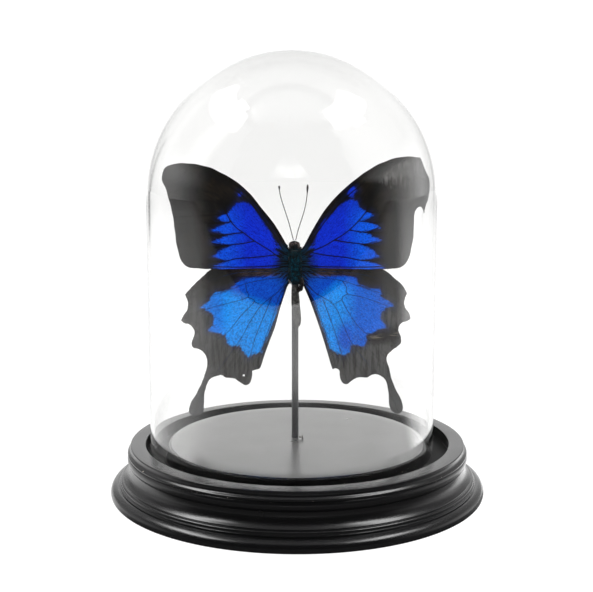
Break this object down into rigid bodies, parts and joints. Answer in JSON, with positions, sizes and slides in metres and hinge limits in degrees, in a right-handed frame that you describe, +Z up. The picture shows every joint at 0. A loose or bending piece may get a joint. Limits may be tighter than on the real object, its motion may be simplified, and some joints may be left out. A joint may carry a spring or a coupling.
{
  "type": "insect in glass dome",
  "caption": "Blue swallowtail butterfly mounted upright on a thin rod, under a clear glass dome that stands in the groove of a black turned wooden base.",
  "frame": {"origin": "middle of the base's underside", "axes": "+Z up along the base's turned axis; the butterfly's upper side, its front, faces -Y; +X to the right as seen from the front"},
  "size_m": [0.1584, 0.1584, 0.1851],
  "materials": {
    "black_paint": "turned wood under satin black paint",
    "clear_glass": "clear polished glass",
    "black_steel": "satin black rod",
    "bare_steel": "dull steel",
    "dark_chitin": "dry dark chitin under short scales and hair",
    "forewing_scales": "velvet black wing scales with a deep structural blue field",
    "hindwing_scales": "velvet black wing scales with a lighter structural blue field"
  },
  "bodies": {
    "root": {"wooden_base": "black_paint", "glass_dome": "clear_glass", "rod": "black_steel", "loose_nail": "bare_steel", "head": "dark_chitin", "thorax": "dark_chitin", "abdomen": "dark_chitin", "antenna_left": "dark_chitin", "antenna_right": "dark_chitin", "leg_front_left": "dark_chitin", "leg_middle_left": "dark_chitin", "leg_hind_left": "dark_chitin", "leg_front_right": "dark_chitin", "leg_middle_right": "dark_chitin", "leg_hind_right": "dark_chitin", "forewing_left": "forewing_scales", "forewing_right": "forewing_scales", "hindwing_left": "hindwing_scales", "hindwing_right": "hindwing_scales"}
  },
  "joints": []
}
